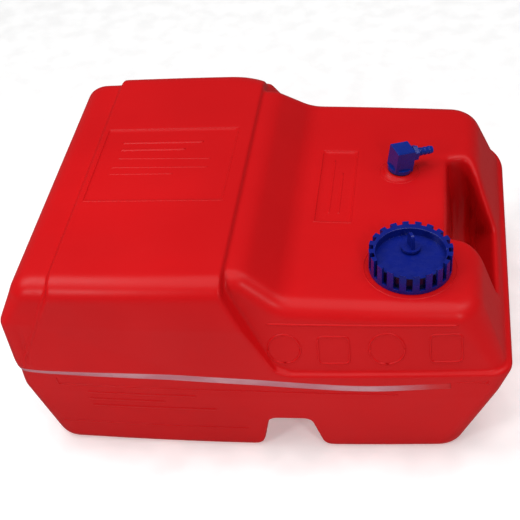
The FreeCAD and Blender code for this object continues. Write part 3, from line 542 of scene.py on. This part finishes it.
def new_mesh(name, points, faces, material, body, slot, replaces=()):
    """A smooth piece that rides on a body, kept within the CAD model's box."""
    mesh = bpy.data.meshes.new(name)
    points = np.clip(points, *np.array(cad_box))
    mesh.from_pydata(points.tolist(), [], [tuple(int(i) for i in face) for face in faces])
    shape = bmesh.new()
    shape.from_mesh(mesh)
    bmesh.ops.recalc_face_normals(shape, faces=shape.faces)
    shape.to_mesh(mesh)
    shape.free()
    piece = bpy.data.objects.new(name, mesh)
    bpy.context.scene.collection.objects.link(piece)
    mesh.materials.append(material)
    mesh.shade_smooth()
    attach(piece, body)
    if replaces:
        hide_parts(*replaces)
    return piece


END_TAPER = 0.35  # an open ridge narrows to this share of its section at each end


def swept(spine, normals, section, closed=False):
    """A skin round a path. The section is (sideways, outward) points, round the path."""
    if closed:
        spine, normals = spine[:-1], normals[:-1]
        ahead = np.roll(spine, -1, axis=0) - np.roll(spine, 1, axis=0)
    else:
        ahead = np.gradient(spine, axis=0)
    side = np.cross(ahead, normals)
    side /= np.linalg.norm(side, axis=1, keepdims=True)
    section = np.asarray(section)
    scale = np.ones(len(spine))
    if not closed:
        scale[[0, -1]] = END_TAPER
    points = (spine[:, None] + side[:, None] * section[None, :, :1] * scale[:, None, None]
              + normals[:, None] * section[None, :, 1:] * scale[:, None, None])
    return skinned(points, closed)


def skinned(points, closed=False):
    """A skin through rings of points, given as an array of shape (rings, points in each, 3)."""
    count, around = points.shape[:2]
    faces = []
    for i in range(count if closed else count - 1):
        here, there = i * around, (i + 1) % count * around
        for k in range(around):
            beyond = (k + 1) % around
            faces.append((here + k, here + beyond, there + beyond, there + k))
    if not closed:
        faces += [tuple(range(around)), tuple(range((count - 1) * around, count * around))]
    return points.reshape(-1, 3), faces


def joined(parts):
    """Several (points, faces) as one."""
    points, faces, start = [], [], 0
    for some_points, some_faces in parts:
        points.append(some_points)
        faces += [tuple(start + i for i in face) for face in some_faces]
        start += len(some_points)
    return np.concatenate(points), faces


def lathed(place, profile, sides=96):
    """A skin turned round a joint frame's Z; the profile is closed, of (radius, height)."""
    rings = np.array([circle(place, radius, height, sides)[:-1] for radius, height in profile])
    count = len(profile)
    faces = [(i * sides + k, i * sides + (k + 1) % sides, (i + 1) % count * sides + (k + 1) % sides,
              (i + 1) % count * sides + k) for i in range(count) for k in range(sides)]
    return rings.reshape(-1, 3), faces


def laid(corners, step=3 * MM):
    """Points along straight lines through the corners, a step apart."""
    corners = np.asarray(corners, float)
    out = [corners[:1]]
    for start, end in zip(corners[:-1], corners[1:]):
        count = max(int(np.linalg.norm(end - start) / step), 1)
        out.append(start + (end - start) * (np.arange(1, count + 1) / count)[:, None])
    return np.concatenate(out)


def on_front(flat):
    """Points (x, z) in millimetres, laid on the tank's skin from the front."""
    hits = [skin_tree.ray_cast(Vector((x, -1, z)), Vector((0, 1, 0)))[0] for x, z in flat * MM]
    return settled(np.array(hits))


def on_top(flat):
    """Points (x, y) in millimetres, laid on the tank's skin from above."""
    hits = [skin_tree.ray_cast(Vector((x, y, 1)), Vector((0, 0, -1)))[0] for x, y in flat * MM]
    return settled(np.array(hits))


def bead(spine, width, height, closed=False):
    """A low rounded ridge along a line on the skin."""
    half = width / 2
    section = [(-1.3 * half, -height), (-half, 0.1 * height), (-0.5 * half, 0.75 * height),
               (0, height), (0.5 * half, 0.75 * height), (half, 0.1 * height),
               (1.3 * half, -height)]
    return swept(spine, slope(spine), section, closed)


def beads(name, spines, width, height, closed=False):
    new_mesh(name, *joined([bead(spine, width * MM, height * MM, closed) for spine in spines]),
             red, "tank", "tank_plastic")


def round_outline(across, high, radius, corner):
    """A closed outline about (across, high): a square of this half width with round corners, or a
    ring where the corner is as large as the half width."""
    flat = []
    for quarter, (way_x, way_z) in enumerate(((1, 1), (-1, 1), (-1, -1), (1, -1))):
        for angle in np.linspace(quarter, quarter + 1, 9) * math.pi / 2:
            flat.append((across + way_x * (radius - corner) + corner * math.cos(angle),
                         high + way_z * (radius - corner) + corner * math.sin(angle)))
    return laid(flat + flat[:1], 3)


def rounded(node, width):
    """Shades a CAD node smooth and rounds its edges with modifiers. Its own points and faces stay
    as they are."""
    piece = frame["nodes"][node]
    mesh = piece.data
    for name in ("custom_normal", "sharp_edge", "sharp_face"):
        if name in mesh.attributes:
            mesh.attributes.remove(mesh.attributes[name])
    mesh.shade_smooth()
    weld = piece.modifiers.new("weld", "WELD")
    weld.merge_threshold = 0.005 * MM
    bevel = piece.modifiers.new("round_edges", "BEVEL")
    bevel.width = width * MM
    bevel.segments = 3
    bevel.limit_method = "ANGLE"
    bevel.angle_limit = math.radians(32)
    bevel.harden_normals = True
    piece.modifiers.new("normals", "WEIGHTED_NORMAL").keep_sharp = True


# ---------------------------------------------------------------- the tank

FILL_LINE = [(17, 175.5), (198, 172)]
FRONT_OUTLINES = [(32, 148, 16, 16), (80, 147, 15, 5), (131, 148, 17, 17), (187, 148, 15, 5)]
SCALE_FRAME = [(-206, 108), (-206, 98.5), (-6, 98.5), (140, 93.5)]
SHORT_LINES = [[(197, 110.5), (226, 109.3)], [(226, 106.5), (226, 112.5)]]
LOW_LINE = [(-218, 34), (-15, 34)]
BAND_EDGE = [(-193, 221), (-201, 205), (-216, 170), (-233, 136), (-238, 124)]
FRONT_RIBS = [[(-178, height), (end, height)] for height, end in ((88, -62), (77, -96), (66, -44))]
PANEL_RIBS = [[(-166, 46), (-74, 46)], [(-166, 33), (-92, 33)]]
PANEL_LINES = [[(-166, 17), (-61, 15)], [(-170, 1), (-62, 0)], [(-170, -11), (-98, -11)]]
PANEL_EDGES = [(-186, -58, -38, 70), (52, -51, 90, 72)]  # left, front, right and back
DECK_RIBS = [[(across, -36), (across, end)] for across, end in ((66, 56), (76, 34))]
CAP_RING = 45.5 * MM
ELBOW_RING = 21.5 * MM


def make_tank_body():
    """The tank's skin, thinned out where it is flat, shaded by the field's own slope."""
    points, quads = skin_net()
    points = np.clip(points, np.array(cad_box[0]) + SKIN_INSET, np.array(cad_box[1]) - SKIN_INSET)
    body = new_mesh("tank_body", points, quads, red, "tank", "tank_plastic", ["tank_shell"])
    thin = body.modifiers.new("thin", "DECIMATE")
    thin.ratio = min(1.0, KEPT_TRIANGLES / (2 * len(quads)))
    graph = bpy.context.evaluated_depsgraph_get()
    mesh = bpy.data.meshes.new_from_object(body.evaluated_get(graph))
    body.modifiers.clear()
    body.data = mesh
    corners = np.zeros(len(mesh.vertices) * 3)
    mesh.vertices.foreach_get("co", corners)
    mesh.normals_split_custom_set_from_vertices(slope(corners.reshape(-1, 3)).tolist())
    return BVHTree.FromPolygons(points.tolist(), quads.tolist())


def make_marks():
    """The raised lines, outlines and ribs on the skin, all plain."""
    beads("fill_line", [on_front(laid(FILL_LINE, 3))], 2.4, 0.9)
    outlines = [on_front(round_outline(*at)) for at in FRONT_OUTLINES]
    beads("front_outlines", outlines, 2.2, 0.9, closed=True)
    lines = [on_front(laid(line, 3)) for line in (SCALE_FRAME, *SHORT_LINES, LOW_LINE)]
    beads("front_lines", lines, 2.0, 0.8)
    beads("band_edge", [on_front(laid(BAND_EDGE, 3))], 4.4, 0.7)
    beads("front_ribs", [on_front(laid(line, 3)) for line in FRONT_RIBS], 3.4, 0.8)
    beads("panel_ribs", [on_top(laid(line, 3)) for line in PANEL_RIBS], 4.4, 0.8)
    beads("panel_lines", [on_top(laid(line, 3)) for line in PANEL_LINES], 2.0, 0.5)
    beads("deck_ribs", [on_top(laid(line, 3)) for line in DECK_RIBS], 2.6, 0.5)
    edges = [[(left, front), (right, front), (right, back), (left, back), (left, front)]
             for left, front, right, back in PANEL_EDGES]
    beads("panel_edges", [on_top(laid(edge, 3)) for edge in edges], 1.8, 0.45, closed=True)
    rings = [settled(circle(CAP, CAP_RING)), settled(circle(ELBOW, ELBOW_RING))]
    beads("deck_rings", rings, 1.6, 0.45, closed=True)


def strip_course():
    """The level strip's middle line in the CAD model, as heights against places along X, and its
    width."""
    corners = triangles("level_strip").reshape(-1, 3)
    across = np.round(corners[:, 0] / MM)
    course = []
    for place in np.unique(across):
        heights = corners[across == place][:, 2]
        course.append((place * MM, (heights.min() + heights.max()) / 2, np.ptp(heights)))
    course = np.array(course)
    width = course[:, 2].max()
    whole = course[course[:, 2] > 0.98 * width]
    return whole[:, 0], whole[:, 1], width


FRONT = -0.2  # the tank's front along Y, from which points are settled onto the skin
STRIP_ROUNDS = 8  # of settling, because the strip's points start further out than the others
STRIP_STEP = 3 * MM
SIDE_START, SIDE_END = -0.150, -0.190  # the strip's stretch on the left end, along Y
CORNER_START, CORNER = -0.180, 20 * MM  # the middle of its left corner along Y, and its radius
FRONT_START = 24 * MM  # from the left end to its stretch along the front
STRIP_PROUD, STRIP_SUNK = 0.3 * MM, MM  # its outside and its inside, from the skin
FADE_START, FADE_END = 70 * MM, 6 * MM  # back from its right end
TICK_PLACES = np.linspace(-174, 102, 10) * MM  # along X
TICK_WIDTH, TICK_HEIGHT = 1.4 * MM, 0.6 * MM


def make_strip():
    """The see-through level strip, just proud of the skin, with its ticks."""
    places, heights, width = strip_course()
    left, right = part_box("level_strip")[0].x, places.max()
    level = heights[0]
    side = [(left, y, level) for y in np.arange(SIDE_START, SIDE_END, -STRIP_STEP)]
    corner = [(left + CORNER * (1 - math.cos(a)), CORNER_START - CORNER * math.sin(a), level)
              for a in np.linspace(0.2, 1.4, 8)]
    front = [(x, FRONT, np.interp(x, places, heights))
             for x in np.arange(left + FRONT_START, right, STRIP_STEP)]
    course = np.array(side + corner + front)
    half = width / 2
    outside, inside = [], []
    for share in np.linspace(-1, 1, 9):
        row = settled(course + (0, 0, share * half), STRIP_ROUNDS)
        outside.append(row + slope(row) * STRIP_PROUD * (1 - 0.8 * share ** 8))
        inside.append(row - slope(row) * STRIP_SUNK)
    rings = np.stack(outside + inside[::-1], axis=1)
    milky = strip_plastic(right - FADE_START, right - FADE_END)
    new_mesh("level_window", *skinned(rings), milky, "tank", "strip_plastic", ["level_strip"])
    ticks = []
    for x in TICK_PLACES:
        middle = np.interp(x, places, heights)
        line = laid([(x, FRONT, middle + 0.5 * half), (x, FRONT, middle - 0.9 * half)], MM)
        ticks.append(bead(settled(line, STRIP_ROUNDS), TICK_WIDTH, TICK_HEIGHT))
    new_mesh("level_ticks", *joined(ticks), milky, "tank", "strip_plastic")


LIP_RADIUS = 34.8 * MM  # round the middle of the dish
DISH_FORWARD = 5 * MM  # from the cap's axis to the middle of the dish
LIP_SECTION = np.array([(-0.8, -0.5), (-0.7, 0.3), (0, 0.6), (0.7, 0.3), (0.8, -0.5)]) * MM


def make_dish_lip():
    """The thin raised edge along the back of the cap's dish."""
    top = reach_of("filler_cap", CAP)[2]
    angles = np.linspace(math.radians(8), math.radians(172), 60)
    spine = np.array([CAP @ Vector((LIP_RADIUS * math.cos(a),
                                    LIP_RADIUS * math.sin(a) - DISH_FORWARD, top))
                      for a in angles])
    up = np.tile(CAP.to_3x3().col[2], (len(spine), 1))
    new_mesh("dish_lip", *swept(spine, up, LIP_SECTION), finishes["cap_plastic"], "cap",
             "cap_plastic")


NECK_BORE = 0.87  # as a share of the neck's radius, which is the gasket's
NECK_FOOT = -3 * MM  # just below the deck
NECK_EDGE = 0.6 * MM  # the bevels round its rim
GASKET_GAP = 0.1 * MM
THREAD_START, THREAD_PITCH, THREAD_TURNS = 2.6 * MM, 5 * MM, 1.2
THREAD_SECTION = np.array([(-1.2, -0.3), (-0.6, 1.5), (0.6, 1.5), (1.2, -0.3)]) * MM


def make_neck():
    """The filler neck under the cap, with its thread."""
    radius, low, _ = reach_of("cap_gasket", CAP)
    bore, rim, edge = NECK_BORE * radius, low - GASKET_GAP, NECK_EDGE
    tube = lathed(CAP, [(bore, NECK_FOOT), (radius, NECK_FOOT), (radius, rim - edge),
                        (radius - edge, rim), (bore + edge, rim), (bore, rim - edge)])
    angles = np.linspace(0, THREAD_TURNS * 2 * math.pi, 90)
    spine = np.array([CAP @ Vector((radius * math.cos(a), radius * math.sin(a),
                                    THREAD_START + THREAD_PITCH * a / (2 * math.pi)))
                      for a in angles])
    turned = CAP.to_3x3()
    outward = np.array([turned @ Vector((math.cos(a), math.sin(a), 0)) for a in angles])
    thread = swept(spine, outward, THREAD_SECTION)
    new_mesh("filler_neck", *joined([tube, thread]), red, "tank", "tank_plastic")


# ---------------------------------------------------------------- the scene

EDGE_ROUNDING = {"filler_cap": 0.7, "pickup_elbow": 0.6, "hose_barb": 0.25, "vent_screw": 0.5}  # mm

make_camera()
make_lights()
make_floor()
red = tank_plastic()
finishes = make_materials()
slots = {part["node"]: part["material_slot"] for part in frame["record"]["subparts"]}
for node, piece in frame["nodes"].items():
    if slots[node] in finishes:
        piece.data.materials.clear()
        piece.data.materials.append(finishes[slots[node]])
for node, width in EDGE_ROUNDING.items():
    rounded(node, width)

field, field_low = skin_field()
skin_tree = make_tank_body()
make_marks()
make_strip()
make_dish_lip()
make_neck()
